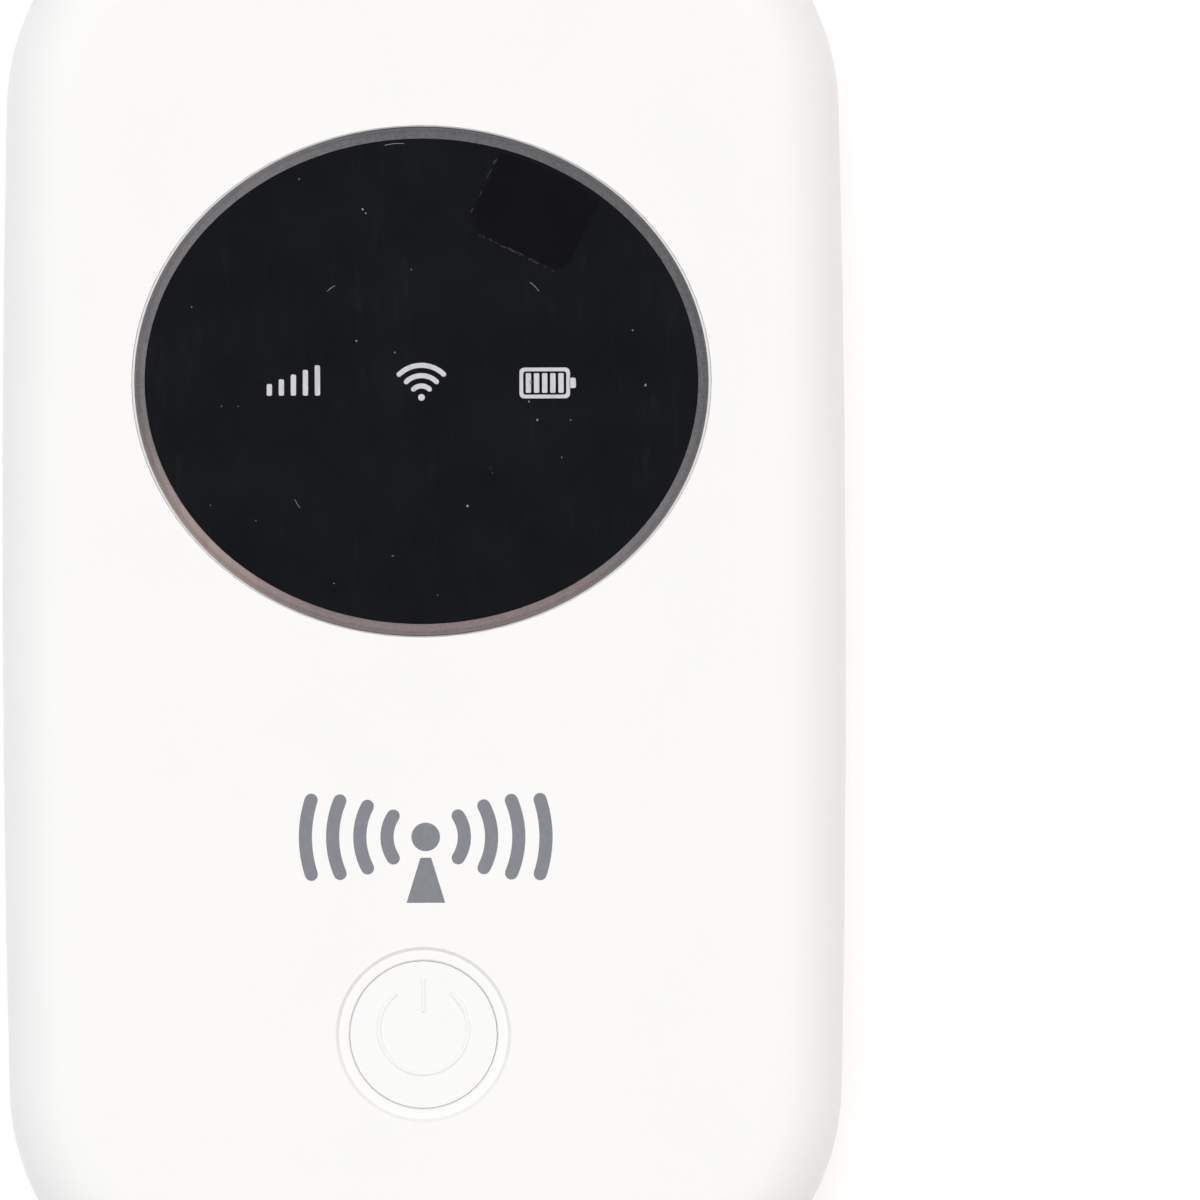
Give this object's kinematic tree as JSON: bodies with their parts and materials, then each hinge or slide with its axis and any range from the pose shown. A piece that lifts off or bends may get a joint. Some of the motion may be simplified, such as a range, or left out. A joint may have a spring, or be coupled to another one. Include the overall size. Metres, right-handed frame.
{
  "type": "mobile hotspot",
  "caption": "Rounded white pocket hotspot with an oval dark status window, round power button, micro-USB port, lift-off rear door and removable battery.",
  "frame": {"origin": "centre of the flat back face, which the hotspot lies on", "axes": "+Z out of the front face with the window and button; +Y towards the window end; the micro-USB port faces -Y; +X to the right seen from the front"},
  "size_m": [0.059, 0.098, 0.0148],
  "materials": {
    "battery_can": "aluminium can in a dark wrap",
    "battery_wrap": "blank printed wrap",
    "black_foam": "double-sided foam tape",
    "black_lcp": "black connector plastic",
    "black_lens": "back-painted black acrylic, polished",
    "black_pc": "black moulded plastic",
    "bright_steel": "bright stainless sheet",
    "ceramic_tan": "ceramic chip parts",
    "chip_black": "epoxy chip package",
    "clear_film": "thin clear protective film",
    "dark_film": "dark pull tab of the protective film",
    "ferrite": "ferrite inductor",
    "flex_circuit": "flexible printed circuit",
    "gold_plate": "gold plating",
    "grey_pc": "pale grey moulded polycarbonate, matt",
    "led_white": "LED package",
    "milky_guide": "milky light guide",
    "paper_label": "blank white label",
    "satin_metal": "satin metallised border",
    "silicone": "silicone rubber",
    "solder_mask": "green solder mask over copper",
    "switch_plunger": "pale switch plunger",
    "thermal_grey": "soft thermal pad",
    "tin_steel": "tin-plated sheet steel",
    "white_abs": "white ABS, satin, very fine texture",
    "white_abs_button": "white ABS, satin, smoother than the shell",
    "zinc_steel": "zinc-plated steel"
  },
  "bodies": {
    "power_button": {"power_button": "white_abs_button", "button_pad": "silicone"},
    "power_plunger": {"power_switch_plunger": "switch_plunger"},
    "reset_plunger": {"reset_plunger": "switch_plunger"},
    "rear_door": {"rear_door": "white_abs"},
    "battery": {"battery_pack": "battery_can", "battery_end_cap": "black_pc", "battery_pads": "gold_plate", "battery_label": "battery_wrap"},
    "housing": {"antenna_clips": "gold_plate", "baseband_processor": "chip_black", "baseband_shield": "tin_steel", "battery_connector": "black_lcp", "battery_springs": "gold_plate", "chassis": "grey_pc", "chassis_screws": "zinc_steel", "crystal": "tin_steel", "display_lens": "black_lens", "film_pull_tab": "dark_film", "front_shell": "white_abs", "icon_baffle": "black_pc", "icon_light_guides": "milky_guide", "lens_adhesive": "black_foam", "lens_border": "satin_metal", "main_antenna": "flex_circuit", "main_board": "solder_mask", "memory_chip": "chip_black", "passive_parts": "ceramic_tan", "power_inductors": "ferrite", "power_manager": "chip_black", "power_shield": "tin_steel", "power_switch_base": "black_lcp", "radio_chips": "chip_black", "radio_shield": "tin_steel", "rating_label": "paper_label", "reset_switch_base": "black_lcp", "screen_film": "clear_film", "second_antenna": "flex_circuit", "sim_base": "black_lcp", "sim_contacts": "gold_plate", "sim_cover": "bright_steel", "status_leds": "led_white", "thermal_pad": "thermal_grey", "usb_contacts": "gold_plate", "usb_shell": "bright_steel", "usb_tongue": "black_lcp"}
  },
  "joints": [
    {"name": "power_press", "type": "slide", "parent": "housing", "child": "power_button", "axis": [0, 0, -1], "range_m": [0, 0.0003], "stiffness_N_per_m": 3000},
    {"name": "power_plunger_press", "type": "slide", "parent": "housing", "child": "power_plunger", "axis": [0, 0, -1], "range_m": [0, 0.0003]},
    {"name": "reset_press", "type": "slide", "parent": "housing", "child": "reset_plunger", "axis": [0, 1, 0], "range_m": [0, 0.00025], "stiffness_N_per_m": 3000},
    {"name": "door_lift", "type": "slide", "parent": "housing", "child": "rear_door", "axis": [0, 0, -1], "range_m": [0, 0.03]},
    {"name": "battery_lift", "type": "slide", "parent": "housing", "child": "battery", "axis": [0, 0, -1], "range_m": [0, 0.015]}
  ],
  "couplings": [
    {"joint": "power_plunger_press", "follows": "power_press", "ratio": 1},
    {"joint": "battery_lift", "follows": "door_lift", "ratio": 0.5}
  ]
}
